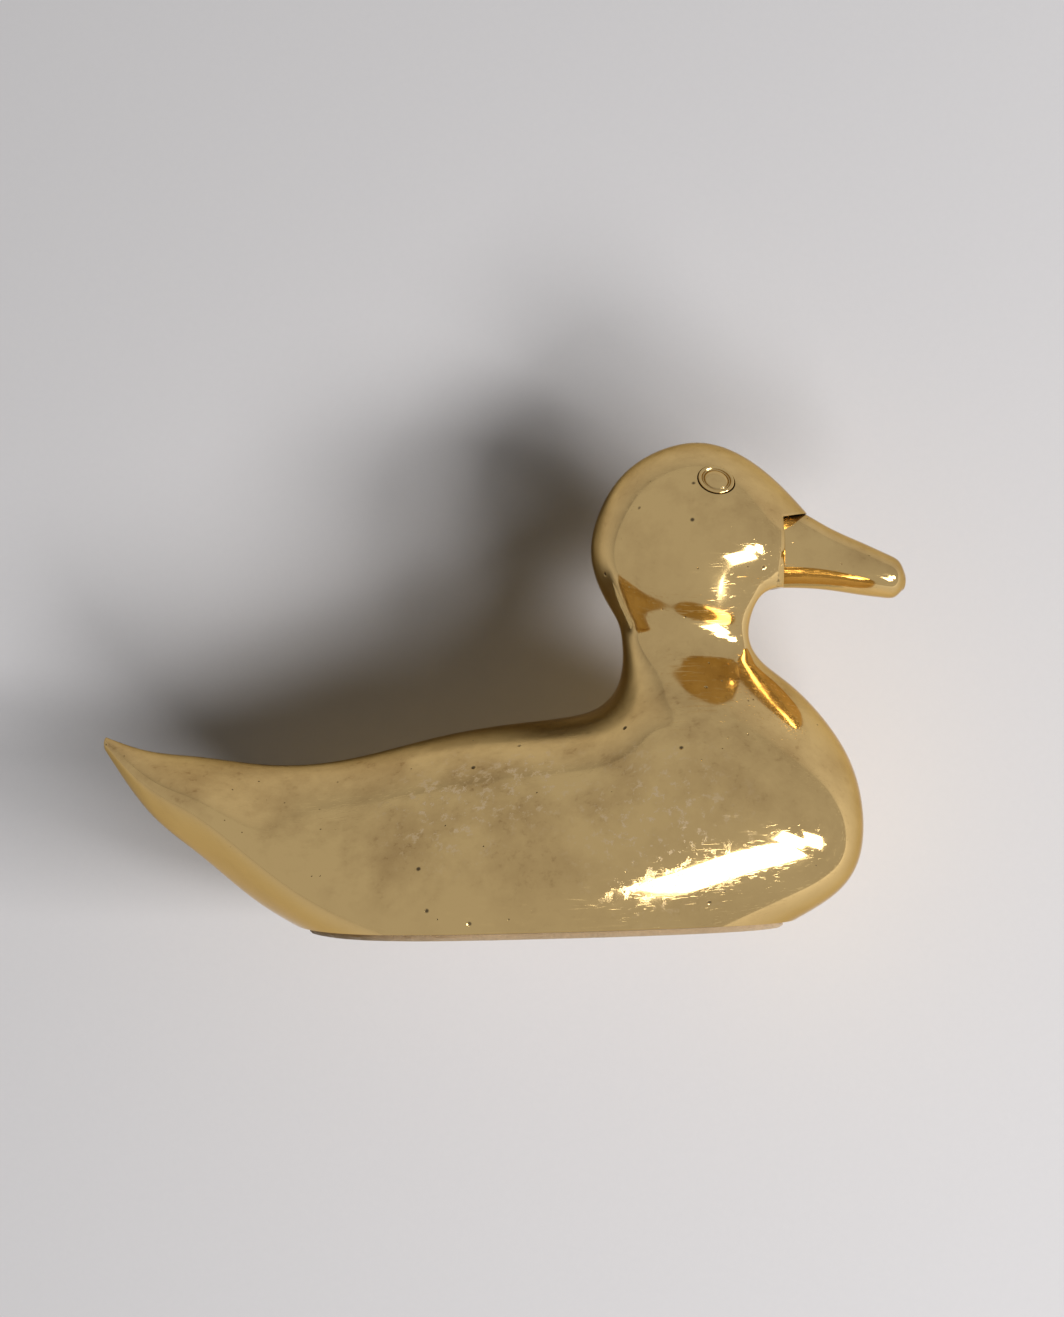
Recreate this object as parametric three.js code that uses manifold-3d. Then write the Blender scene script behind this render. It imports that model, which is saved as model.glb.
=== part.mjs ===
// Hollow cast duck figurine, built in millimetres: facing +X, standing on z = 0, mirrored about y = 0.
import * as THREE from "three";
import { mergeVertices } from "three/addons/utils/BufferGeometryUtils.js";
import Module from "manifold-3d";

const wasm = await Module();
wasm.setup();

// Overall sizes
const LENGTH = 100;
const HEIGHT = 59.7;
const BODY_WIDTH = 45.6;
const NECK_WIDTH = 15.4;
const HEAD_WIDTH = 24.4;
const BILL_WIDTH = 10.6;

// Castings and their fits
const WALL = 2.6;
const SEAM_GAP = 0.1;
const FIT = 0.2;
const PLATE_THICKNESS = 2;
const REBATE_LIP = 1.3;
const LEDGE_WIDTH = 1.8;
const LEDGE_THICKNESS = 1.6;
const PAD_THICKNESS = 0.8;
const PAD_INSET = 1;
const GLUE_LINE = 0.1;

// Bill joint
const TENON_LENGTH = 4.6;
const TENON_WIDTH = 4.4;
const TENON_HEIGHT = 4.2;
const TENON_GRIP = 3;

// Eye studs
const EYE_LENGTH = 4.75;
const EYE_HEIGHT = 4.15;
const EYE_TILT = 1.1;
const EYE_SEAT_DEPTH = 0.9;
const EYE_RING = 0.42;
const EYE_RING_RISE = 0.12;
const EYE_GROOVE = 0.3;
const EYE_DOME_RISE = 0.3;
const EYE_SHANK_RADIUS = 0.9;
const EYE_SHANK_LENGTH = 2.2;

// Seam dowels
const DOWEL_RADIUS = 1.2;
const DOWEL_LENGTH = 8;
const DOWEL_BOSS_WALL = 1.8;

// Base screws and their bosses
const SCREW_RADIUS = 1.5;
const SCREW_HEAD_RADIUS = 2.7;
const SCREW_HEAD_HEIGHT = 1.5;
const SCREW_HEAD_EDGE = 0.3;
const SCREW_HEAD_SINK = 0.1;
const SCREW_LENGTH = 9;
const SCREW_TIP_CHAMFER = 0.6;
const SCREW_SLOT_WIDTH = 0.7;
const SCREW_SLOT_DEPTH = 0.6;
const SCREW_BOSS_WALL = 1.7;
const SCREW_TO_EDGE = 0.8;

// Rounding of a roofed section's widest line, as a share of its height
const ROOF_ROUNDING = 0.2;

// Fineness of the rounded forms
const SKIN = { around: 40, steps: 2 };
const LINING = { around: 24, steps: 1 };
const FOOT_POINTS = 28;

const BODY = BODY_WIDTH / 2;
const NECK = NECK_WIDTH / 2;
const HEAD = HEAD_WIDTH / 2;
const BILL = BILL_WIDTH / 2;
const FOOT = PAD_THICKNESS + GLUE_LINE;
const PLATE_TOP = FOOT + PLATE_THICKNESS;
const LEDGE = PLATE_TOP + FIT;
const FLOOR = LEDGE + LEDGE_THICKNESS;
const EYE_RADIUS = EYE_HEIGHT / 2;
const DOWEL_BOSS_RADIUS = DOWEL_RADIUS + DOWEL_BOSS_WALL;
const DOWEL_BOSS_LENGTH = DOWEL_LENGTH / 2 + DOWEL_BOSS_WALL;
const SCREW_BOSS_RADIUS = SCREW_RADIUS + SCREW_BOSS_WALL;
const SCREW_BOSS_HEIGHT = FOOT + SCREW_LENGTH + SCREW_BOSS_WALL - LEDGE;
const REACH = 2 * (LENGTH + HEIGHT + BODY_WIDTH);

// Sections of the figure from tail to face. Each runs from the back's outline to the keel's outline,
// given as percent of the length and of the height, with the half width across it. Its form says
// how far its widest line drops towards the keel, how far it is roofed, and how blunt its keel is.
const FIGURE = [
  { back: [0.3, 41.5], keel: [0.1, 38.9], half: 0.04 * BODY, form: [0, 0.6, 0] },
  { back: [5.7, 38.4], keel: [5.5, 25.6], half: 0.26 * BODY, form: [0, 0.65, 0] },
  { back: [11.9, 37.0], keel: [11.6, 16.6], half: 0.455 * BODY, form: [0, 0.68, 0] },
  { back: [18.7, 35.3], keel: [18.3, 7.0], half: 0.605 * BODY, form: [0.15, 0.68, 0] },
  { back: [25.5, 34.9], keel: [25.1, 0.0], half: 0.725 * BODY, form: [0.34, 0.6, 0] },
  { back: [33.0, 36.7], keel: [32.7, -6.5], half: 0.83 * BODY, form: [0.37, 0.48, 0.1] },
  { back: [41.8, 40.1], keel: [41.7, -13.6], half: 0.91 * BODY, form: [0.25, 0.37, 0.18] },
  { back: [49.9, 42.2], keel: [52.2, -17.1], half: 0.955 * BODY, form: [0.1, 0.3, 0.23] },
  { back: [56.1, 43.2], keel: [63.4, -15.2], half: 0.98 * BODY, form: [0.05, 0.25, 0.28] },
  { back: [60.2, 44.4], keel: [74.0, -9.0], half: 0.99 * BODY, form: [0.03, 0.13, 0.34] },
  { back: [62.4, 46.4], keel: [83.2, -0.4], half: 1.0 * BODY, form: [0.05, 0.04, 0.47] },
  { back: [63.7, 48.9], keel: [89.6, 6.3], half: 0.99 * BODY, form: [0.13, 0, 0.54] },
  { back: [64.4, 51.8], keel: [92.7, 14.2], half: 0.92 * BODY, form: [0.27, 0, 0.58] },
  { back: [64.7, 55.1], keel: [93.2, 25.0], half: 0.76 * BODY, form: [0.33, 0, 0.58] },
  { back: [64.7, 58.2], keel: [91.3, 36.5], half: 0.55 * BODY, form: [0.26, 0, 0.54] },
  { back: [64.5, 61.2], keel: [86.5, 47.4], half: 1.12 * NECK, form: [0.1, 0, 0.48] },
  { back: [63.9, 64.1], keel: [82.4, 53.3], half: 0.99 * NECK, form: [0.02, 0, 0.43] },
  { back: [62.6, 68.1], keel: [80.5, 57.8], half: 1.02 * NECK, form: [0, 0, 0.55] },
  { back: [61.3, 74.0], keel: [80.3, 61.7], half: 1.22 * NECK, form: [0, 0.03, 0.65] },
  { back: [61.3, 81.3], keel: [80.7, 64.7], half: 0.88 * HEAD, form: [0.1, 0.11, 0.75] },
  { back: [63.6, 90.3], keel: [81.3, 66.8], half: 0.97 * HEAD, form: [0.2, 0.22, 0.82] },
  { back: [68.1, 97.2], keel: [82.1, 68.2], half: 1.0 * HEAD, form: [0.3, 0.28, 0.85] },
  { back: [74.9, 100.0], keel: [83.2, 69.0], half: 0.96 * HEAD, form: [0.34, 0.28, 0.85] },
  { back: [81.1, 96.0], keel: [84.4, 69.3], half: 0.83 * HEAD, form: [0.3, 0.26, 0.8] },
  { back: [85.5, 89.5], keel: [86.0, 69.4], half: 0.68 * HEAD, form: [0.24, 0.25, 0.7] },
  { back: [88.6, 83.5], keel: [87.9, 69.6], half: 0.53 * HEAD, form: [0.16, 0.27, 0.5] },
];
const FIGURE_ENDS = [[0, 40.3], [88.9, 76.7]];

// Sections of the bill from its root to its tip, in the same percents.
const BEAK = [
  { back: [82.9, 88.1], keel: [83.0, 69.4], half: 0.95 * BILL, form: [0, 0, 0] },
  { back: [87.5, 84.9], keel: [87.3, 69.2], half: 0.96 * BILL, form: [0, 0, 0] },
  { back: [90.8, 81.6], keel: [90.7, 68.6], half: 0.98 * BILL, form: [0, 0, 0] },
  { back: [94.5, 78.6], keel: [94.1, 67.6], half: 1.0 * BILL, form: [0, 0, 0] },
  { back: [97.6, 76.1], keel: [96.9, 66.9], half: 0.97 * BILL, form: [0, 0, 0] },
  { back: [99.2, 74.5], keel: [98.5, 66.8], half: 0.82 * BILL, form: [0, 0, 0] },
  { back: [99.9, 72.1], keel: [99.5, 68.1], half: 0.45 * BILL, form: [0, 0, 0] },
];
const BEAK_ENDS = [[82.6, 78.8], [100, 70.0]];

// Places on the figure, in the same percents
const RIM_PERCENT = 84.5;
const BROW_PERCENTS = [[RIM_PERCENT, 83.7], [88.0, 84.7]];
const TENON_PERCENT = 77.6;

// Places along the figure, as section numbers, and the eye's turn from the back towards the side
const EYE_SECTION = 21.86;
const EYE_TURN = 0.86;
const CAVITY_SECTIONS = [3.4, 20.8];
const FOOT_SECTIONS = [3, 13];
const SCREW_SECTION = 7.5;
const TAIL_DOWEL_SECTION = 2;
const BREAST_DOWEL_SECTION = 12.2;

// The throat is the keel's furthest point back between the breast and the face.
const pastBreast = FIGURE.slice(FOOT_SECTIONS[1]);
const throat = pastBreast.reduce((found, s) => (s.keel[0] < found.keel[0] ? s : found));

const BRASS = { color: 0xc79a3c, metalness: 1, roughness: 0.18 };
const PLATE_BRASS = { color: 0xb58a3a, metalness: 1, roughness: 0.45 };
const STEEL = { color: 0x8f9294, metalness: 1, roughness: 0.35 };
const FELT = { color: 0x8a6a45, metalness: 0, roughness: 0.95 };

function across(share) {
  return (share / 100 - 0.5) * LENGTH;
}

function up(share) {
  return (share / 100) * HEIGHT;
}

function spline(points) {
  return new THREE.CatmullRomCurve3(points, false, "catmullrom", 0.5);
}

// Curves through the sections, with a wall taken off them all round.
function curvesOf(sections, wall) {
  const backs = [];
  const keels = [];
  for (const s of sections) {
    const back = new THREE.Vector3(across(s.back[0]), s.half - wall, up(s.back[1]));
    const keel = new THREE.Vector3(across(s.keel[0]), s.half - wall, up(s.keel[1]));
    const inward = keel.clone().sub(back).normalize();
    backs.push(back.addScaledVector(inward, wall));
    keels.push(keel.addScaledVector(inward, -wall));
  }
  const forms = sections.map((s) => new THREE.Vector3(...s.form));
  return { back: spline(backs), keel: spline(keels), form: spline(forms), last: sections.length - 1 };
}

const figureCurves = curvesOf(FIGURE, 0);
const liningCurves = curvesOf(FIGURE, WALL);
const beakCurves = curvesOf(BEAK, 0);

function section(curves, at) {
  const back = curves.back.getPoint(at / curves.last);
  const keel = curves.keel.getPoint(at / curves.last);
  const form = curves.form.getPoint(at / curves.last);
  const half = back.y;
  back.y = 0;
  keel.y = 0;
  const middle = back.clone().add(keel).multiplyScalar(0.5);
  return { back, keel, middle, rise: back.clone().sub(middle), half, form };
}

// Half width of a section as a share, from a round and a roofed side; level goes from 1 at the back to -1.
function sideShare(level, form) {
  const [drop, roofed, blunt] = form.toArray();
  const round = Math.sqrt(1 - level * level) ** (1 - (blunt * (1 - level)) / 2);
  const soft = Math.hypot(1, ROOF_ROUNDING) - ROOF_ROUNDING;
  const roof = 1 - (Math.hypot(level, ROOF_ROUNDING) - ROOF_ROUNDING) / soft;
  return { out: (1 - roofed) * round + roofed * roof, level: level - drop * (1 - level * level) };
}

function skinPoint(curves, at, turn) {
  const s = section(curves, at);
  const share = sideShare(Math.cos(turn), s.form);
  const point = s.middle.clone().addScaledVector(s.rise, share.level);
  point.y = Math.sign(Math.sin(turn)) * s.half * share.out;
  return point;
}

function skinNormal(curves, at, turn) {
  const step = 0.01;
  const ahead = skinPoint(curves, Math.min(at + step, curves.last), turn);
  const along = ahead.sub(skinPoint(curves, Math.max(at - step, 0), turn));
  const around = skinPoint(curves, at, turn + step).sub(skinPoint(curves, at, turn - step));
  return along.cross(around).normalize();
}

function ring(curves, at, around) {
  const points = [];
  for (let i = 0; i < around; i += 1) {
    points.push(skinPoint(curves, at, (2 * Math.PI * i) / around));
  }
  return points;
}

function loft(rings, start, end) {
  const around = rings[0].length;
  const position = [];
  const index = [];
  rings.flat().forEach((p) => position.push(p.x, p.y, p.z));
  const first = rings.length * around;
  const last = first + 1;
  position.push(start.x, start.y, start.z, end.x, end.y, end.z);
  const lastRing = (rings.length - 1) * around;
  for (let i = 0; i < around; i += 1) {
    const next = (i + 1) % around;
    for (let r = 0; r + 1 < rings.length; r += 1) {
      const here = r * around;
      const there = here + around;
      index.push(here + i, there + i, here + next, here + next, there + i, there + next);
    }
    index.push(first, i, next, last, lastRing + next, lastRing + i);
  }
  const geometry = new THREE.BufferGeometry();
  geometry.setAttribute("position", new THREE.Float32BufferAttribute(position, 3));
  geometry.setIndex(index);
  return geometry;
}

function middleOf(points) {
  const sum = points.reduce((total, p) => total.add(p), new THREE.Vector3());
  return sum.divideScalar(points.length);
}

function solid(geometry) {
  const bare = new THREE.BufferGeometry();
  bare.setAttribute("position", geometry.getAttribute("position"));
  bare.setIndex(geometry.getIndex());
  const welded = mergeVertices(bare, 1e-5);
  const vertProperties = new Float32Array(welded.getAttribute("position").array);
  const triVerts = new Uint32Array(welded.getIndex().array);
  return new wasm.Manifold(new wasm.Mesh({ numProp: 3, vertProperties, triVerts }));
}

function skin(curves, from, to, fineness, ends) {
  const count = Math.round((to - from) * fineness.steps);
  const rings = [];
  for (let i = 0; i <= count; i += 1) {
    rings.push(ring(curves, from + ((to - from) * i) / count, fineness.around));
  }
  const poles = ends ? ends.map(([x, z]) => new THREE.Vector3(across(x), 0, up(z))) : [];
  return solid(loft(rings, poles[0] ?? middleOf(rings[0]), poles[1] ?? middleOf(rings[count])));
}

function block(low, high) {
  const size = new THREE.Vector3().subVectors(high, low);
  const middle = new THREE.Vector3().addVectors(high, low).multiplyScalar(0.5);
  return solid(new THREE.BoxGeometry(size.x, size.y, size.z).translate(middle.x, middle.y, middle.z));
}

function slab(bottom, top) {
  return block(new THREE.Vector3(-REACH, -REACH, bottom), new THREE.Vector3(REACH, REACH, top));
}

// Point of the skin's left side where a section meets the level at which the foot is cut off.
function footPoint(curves, at) {
  let above = 0;
  let below = Math.PI;
  for (let k = 0; k < 40; k += 1) {
    const turn = (above + below) / 2;
    if (skinPoint(curves, at, turn).z > FOOT) {
      above = turn;
    } else {
      below = turn;
    }
  }
  return skinPoint(curves, at, above);
}

// Outline of the foot with a wall taken off the figure.
function footOutline(wall) {
  const curves = curvesOf(FIGURE, wall);
  const low = [];
  for (let at = FOOT_SECTIONS[0]; at <= FOOT_SECTIONS[1]; at += 0.01) {
    if (section(curves, at).keel.z < FOOT) {
      low.push(at);
    }
  }
  const middle = (low[low.length - 1] + low[0]) / 2;
  const reach = (low[low.length - 1] - low[0]) / 2;
  const side = [];
  for (let i = 0; i <= FOOT_POINTS; i += 1) {
    const point = footPoint(curves, middle - reach * Math.cos((Math.PI * i) / FOOT_POINTS));
    side.push(new THREE.Vector2(point.x, point.y));
  }
  const mirrored = side.map((p) => new THREE.Vector2(p.x, -p.y)).reverse();
  return new THREE.Shape([...side, ...mirrored]);
}

function prism(shape, bottom, top) {
  const geometry = new THREE.ExtrudeGeometry(shape, { depth: top - bottom, bevelEnabled: false });
  return solid(geometry.translate(0, 0, bottom));
}

function turned(profile, sides) {
  return new THREE.LatheGeometry(profile.map(([r, h]) => new THREE.Vector2(r, h)), sides);
}

function rod(radius, length) {
  return new THREE.CylinderGeometry(radius, radius, length, 24);
}

// Space in front of the face that the bill fills, under the forehead's edge.
function billSpace(clearance) {
  const [start, tip] = BROW_PERCENTS.map(([x, z]) => new THREE.Vector2(across(x), up(z)));
  const rim = start.x + clearance;
  const edge = start.y - clearance;
  const slope = (tip.y - start.y) / (tip.x - start.x);
  const under = up(throat.keel[1]);
  const side = new THREE.Shape();
  side.moveTo(rim, under);
  side.lineTo(rim + LENGTH, under);
  side.lineTo(rim + LENGTH, edge + slope * LENGTH);
  side.lineTo(rim, edge);
  const space = new THREE.ExtrudeGeometry(side, { depth: 2 * HEAD_WIDTH, bevelEnabled: false });
  return solid(space.rotateX(Math.PI / 2).translate(0, HEAD_WIDTH, 0));
}

function tenon(clearance) {
  const middle = up(TENON_PERCENT);
  const half = TENON_WIDTH / 2 + clearance;
  const rise = TENON_HEIGHT / 2 + clearance;
  const low = new THREE.Vector3(across(RIM_PERCENT) - TENON_LENGTH - clearance, -half, middle - rise);
  return block(low, new THREE.Vector3(across(RIM_PERCENT) + TENON_GRIP, half, middle + rise));
}

function eyeGeometry(clearance) {
  const rim = EYE_RADIUS + clearance;
  const shank = EYE_SHANK_RADIUS + clearance;
  const seat = -EYE_SEAT_DEPTH - clearance;
  const foot = seat - EYE_SHANK_LENGTH;
  const profile = [[0, foot], [shank, foot], [shank, seat], [rim, seat]];
  if (clearance > 0) {
    profile.push([rim, EYE_SEAT_DEPTH], [0, EYE_SEAT_DEPTH]);
  } else {
    const dome = rim - EYE_RING - EYE_GROOVE;
    profile.push([rim, 0], [rim - 0.3 * EYE_RING, EYE_RING_RISE], [rim - 0.7 * EYE_RING, EYE_RING_RISE]);
    profile.push([rim - EYE_RING, 0], [rim - EYE_RING, -EYE_RING_RISE], [dome, -EYE_RING_RISE]);
    for (const angle of [0.35, 0.75, 1.15]) {
      profile.push([dome * Math.cos(angle), EYE_DOME_RISE * Math.sin(angle)]);
    }
    profile.push([0, EYE_DOME_RISE]);
  }
  return turned(profile, 32).scale(EYE_LENGTH / EYE_HEIGHT, 1, 1);
}

// Seat of an eye on the head: its own Y axis stands out of the skin and its X axis is the long one.
function eyePlace(side) {
  const turn = side * EYE_TURN;
  const outward = skinNormal(figureCurves, EYE_SECTION, turn);
  const slope = new THREE.Vector3(Math.cos(EYE_TILT), 0, -Math.sin(EYE_TILT));
  const short = new THREE.Vector3().crossVectors(slope, outward).normalize();
  const long = new THREE.Vector3().crossVectors(outward, short);
  const frame = new THREE.Matrix4().makeBasis(long, outward, short);
  return frame.setPosition(skinPoint(figureCurves, EYE_SECTION, turn));
}

const tailSection = section(figureCurves, TAIL_DOWEL_SECTION);
const tailDowelAt = tailSection.middle;
const breastSection = section(figureCurves, BREAST_DOWEL_SECTION);
const breastDepth = WALL + 0.85 * DOWEL_BOSS_RADIUS;
const breastInward = breastSection.rise.clone().normalize();
const breastDowelAt = breastSection.keel.clone().addScaledVector(breastInward, breastDepth);

// Each screw keeps its head inside the plate's edge, one in each half.
const screwEdge = footPoint(figureCurves, SCREW_SECTION);
const footHalf = screwEdge.y;
const screwOut = footHalf - REBATE_LIP - FIT - SCREW_TO_EDGE - SCREW_HEAD_RADIUS;
const screwAcross = screwEdge.x;

function screwGeometry(clearance) {
  const head = SCREW_HEAD_RADIUS + clearance;
  const shank = SCREW_RADIUS + clearance;
  const neck = SCREW_HEAD_HEIGHT + clearance;
  const tip = SCREW_LENGTH + clearance;
  const start = clearance > 0 ? -FOOT : SCREW_HEAD_SINK;
  const profile = [[0, start], [head, start], [head, SCREW_HEAD_EDGE], [shank, neck]];
  profile.push([shank, tip - SCREW_TIP_CHAMFER], [shank - SCREW_TIP_CHAMFER, tip], [0, tip]);
  return turned(profile, 24).rotateX(Math.PI / 2);
}

function dowelHole(at, clearance) {
  const hole = rod(DOWEL_RADIUS + clearance, DOWEL_LENGTH + 2 * clearance);
  return solid(hole.translate(at.x, at.y, at.z));
}

const outer = skin(figureCurves, 0, figureCurves.last, SKIN, FIGURE_ENDS);
const cavity = skin(liningCurves, ...CAVITY_SECTIONS, LINING).intersect(slab(FLOOR, REACH));
const opening = prism(footOutline(REBATE_LIP + LEDGE_WIDTH), 0, FLOOR + LEDGE_THICKNESS);
const rebate = prism(footOutline(REBATE_LIP), 0, LEDGE);

// Round boss for a screw, with a web that joins it to the wall.
function screwBoss(side) {
  const middle = LEDGE + SCREW_BOSS_HEIGHT / 2;
  const post = rod(SCREW_BOSS_RADIUS, SCREW_BOSS_HEIGHT).rotateX(Math.PI / 2);
  const web = new THREE.BoxGeometry(2 * SCREW_BOSS_RADIUS, footHalf, SCREW_BOSS_HEIGHT);
  return solid(post.translate(screwAcross, side * screwOut, middle))
    .add(solid(web.translate(screwAcross, side * (screwOut + footHalf / 2), middle)));
}

const dowelBoss = solid(
  rod(DOWEL_BOSS_RADIUS, 2 * DOWEL_BOSS_LENGTH).translate(breastDowelAt.x, 0, breastDowelAt.z),
);

function shellSolid(side) {
  const low = new THREE.Vector3(-REACH, side > 0 ? SEAM_GAP / 2 : -REACH, FOOT);
  const high = new THREE.Vector3(REACH, side > 0 ? REACH : -SEAM_GAP / 2, REACH);
  const bosses = screwBoss(side).add(dowelBoss).intersect(outer);
  const hollow = outer.subtract(cavity).subtract(opening);
  const casting = hollow.add(bosses).intersect(block(low, high));
  const screwHole = screwGeometry(FIT).translate(screwAcross, side * screwOut, FOOT);
  return casting
    .subtract(rebate)
    .subtract(billSpace(0))
    .subtract(tenon(FIT))
    .subtract(solid(eyeGeometry(FIT).applyMatrix4(eyePlace(side))))
    .subtract(dowelHole(tailDowelAt, FIT))
    .subtract(dowelHole(breastDowelAt, FIT))
    .subtract(solid(screwHole));
}

function plateSolid() {
  const right = solid(screwGeometry(FIT).translate(screwAcross, -screwOut, FOOT));
  const left = solid(screwGeometry(FIT).translate(screwAcross, screwOut, FOOT));
  return prism(footOutline(REBATE_LIP + FIT), FOOT, PLATE_TOP).subtract(right).subtract(left);
}

function billSolid() {
  const body = skin(beakCurves, 0, beakCurves.last, SKIN, BEAK_ENDS);
  return body.intersect(billSpace(FIT)).add(tenon(0));
}

function screwSolid() {
  const slotLow = new THREE.Vector3(-REACH, -SCREW_SLOT_WIDTH / 2, -SCREW_HEAD_SINK);
  const slotHigh = new THREE.Vector3(REACH, SCREW_SLOT_WIDTH / 2, SCREW_HEAD_SINK + SCREW_SLOT_DEPTH);
  return solid(screwGeometry(0)).subtract(block(slotLow, slotHigh));
}

function geometryOf(body) {
  const mesh = body.getMesh();
  const geometry = new THREE.BufferGeometry();
  geometry.setAttribute("position", new THREE.BufferAttribute(new Float32Array(mesh.vertProperties), 3));
  geometry.setIndex(new THREE.BufferAttribute(new Uint32Array(mesh.triVerts), 1));
  geometry.computeVertexNormals();
  return geometry;
}

const duck = new THREE.Group();
duck.name = "bronze_duck_figurine";

function addPiece(name, geometry, look) {
  const piece = new THREE.Mesh(geometry, new THREE.MeshStandardMaterial(look));
  piece.name = name;
  duck.add(piece);
  return piece;
}

addPiece("right_shell", geometryOf(shellSolid(-1)), BRASS);
addPiece("left_shell", geometryOf(shellSolid(1)), BRASS);
addPiece("bill", geometryOf(billSolid()), BRASS);

for (const [name, side] of [["right_eye", -1], ["left_eye", 1]]) {
  const eye = addPiece(name, geometryOf(solid(eyeGeometry(0))), BRASS);
  eyePlace(side).decompose(eye.position, eye.quaternion, eye.scale);
}

for (const [name, at] of [["tail_dowel", tailDowelAt], ["breast_dowel", breastDowelAt]]) {
  addPiece(name, rod(DOWEL_RADIUS, DOWEL_LENGTH), STEEL).position.copy(at);
}

addPiece("base_plate", geometryOf(plateSolid()), PLATE_BRASS);

for (const [name, side] of [["base_screw_right", -1], ["base_screw_left", 1]]) {
  addPiece(name, geometryOf(screwSolid()), STEEL).position.set(screwAcross, side * screwOut, FOOT);
}

addPiece("base_pad", geometryOf(prism(footOutline(PAD_INSET), 0, PAD_THICKNESS)), FELT);

export default duck;
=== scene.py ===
import math

import bmesh
import bpy
import numpy as np
from bpy.props import FloatProperty, FloatVectorProperty, PointerProperty
from mathutils import Matrix, Vector


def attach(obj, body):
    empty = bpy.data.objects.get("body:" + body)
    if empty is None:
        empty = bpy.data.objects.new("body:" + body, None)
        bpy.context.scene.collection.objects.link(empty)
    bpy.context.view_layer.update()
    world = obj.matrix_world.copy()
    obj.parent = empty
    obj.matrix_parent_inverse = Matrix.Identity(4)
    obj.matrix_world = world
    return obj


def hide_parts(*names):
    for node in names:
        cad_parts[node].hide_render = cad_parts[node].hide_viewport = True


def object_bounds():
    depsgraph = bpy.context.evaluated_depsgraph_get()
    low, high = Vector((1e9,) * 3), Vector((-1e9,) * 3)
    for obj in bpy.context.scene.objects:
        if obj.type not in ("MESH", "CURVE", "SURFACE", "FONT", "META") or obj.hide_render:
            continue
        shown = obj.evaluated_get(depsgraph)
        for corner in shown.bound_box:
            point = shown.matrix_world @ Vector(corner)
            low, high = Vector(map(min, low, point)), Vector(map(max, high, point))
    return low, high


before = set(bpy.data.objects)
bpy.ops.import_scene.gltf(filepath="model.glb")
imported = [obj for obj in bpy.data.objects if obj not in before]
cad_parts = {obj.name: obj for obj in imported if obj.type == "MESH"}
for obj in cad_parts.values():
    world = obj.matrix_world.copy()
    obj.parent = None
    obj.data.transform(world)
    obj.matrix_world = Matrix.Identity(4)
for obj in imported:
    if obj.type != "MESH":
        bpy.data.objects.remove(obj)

bl_info = {
    "name": "Duck figurine",
    "version": (1, 0, 0),
    "blender": (4, 5, 0),
    "location": "View3D > Sidebar > Duck",
    "description": "Builds a polished hollow cast duck with its bill, eyes, base and stage",
    "category": "Object",
}

CAD_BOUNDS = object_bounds()
MM = 0.001
LOW, HIGH = (np.array(corner) for corner in CAD_BOUNDS)

# Sections from the tail to the face. Each has the back's and the keel's place in percent of length and
# height, the half width as a share, the drop of the widest line, the roofed share and the keel's bluntness.
BODY_ROWS = (
    (0.3, 41.5, 0.1, 38.9, 0.04, 0, 0.6, 0),
    (5.7, 38.4, 5.5, 25.6, 0.26, 0, 0.65, 0),
    (11.9, 37.0, 11.6, 16.6, 0.455, 0, 0.68, 0),
    (18.7, 35.3, 18.3, 7.0, 0.605, 0.15, 0.68, 0),
    (25.5, 34.9, 25.1, 0.0, 0.725, 0.34, 0.6, 0),
    (33.0, 36.7, 32.7, -6.5, 0.83, 0.37, 0.48, 0.1),
    (41.8, 40.1, 41.7, -13.6, 0.91, 0.25, 0.37, 0.18),
    (49.9, 42.2, 52.2, -17.1, 0.955, 0.1, 0.3, 0.23),
    (56.1, 43.2, 63.4, -15.2, 0.98, 0.05, 0.25, 0.28),
    (60.2, 44.4, 74.0, -9.0, 0.99, 0.03, 0.13, 0.34),
    (62.4, 46.4, 83.2, -0.4, 1.0, 0.05, 0.04, 0.47),
    (63.7, 48.9, 89.6, 6.3, 0.99, 0.13, 0, 0.54),
    (64.4, 51.8, 92.7, 14.2, 0.92, 0.27, 0, 0.58),
    (64.7, 55.1, 93.2, 25.0, 0.76, 0.33, 0, 0.58),
    (64.7, 58.2, 91.3, 36.5, 0.55, 0.26, 0, 0.54),
)
NECK_ROWS = (
    (64.5, 61.2, 86.5, 47.4, 1.12, 0.1, 0, 0.48),
    (63.9, 64.1, 82.4, 53.3, 0.99, 0.02, 0, 0.43),
    (62.6, 68.1, 80.5, 57.8, 1.02, 0, 0, 0.55),
    (61.3, 74.0, 80.3, 61.7, 1.22, 0, 0.03, 0.65),
)
HEAD_ROWS = (
    (61.3, 81.3, 80.7, 64.7, 0.88, 0.1, 0.11, 0.75),
    (63.6, 90.3, 81.3, 66.8, 0.97, 0.2, 0.22, 0.82),
    (68.1, 97.2, 82.1, 68.2, 1.0, 0.3, 0.28, 0.85),
    (74.9, 100.0, 83.2, 69.0, 0.96, 0.34, 0.28, 0.85),
    (81.1, 96.0, 84.4, 69.3, 0.83, 0.3, 0.26, 0.88),
    (85.5, 89.5, 86.0, 69.4, 0.68, 0.24, 0.25, 0.84),
    (88.6, 83.5, 87.9, 69.6, 0.53, 0.16, 0.27, 0.72),
)
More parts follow.
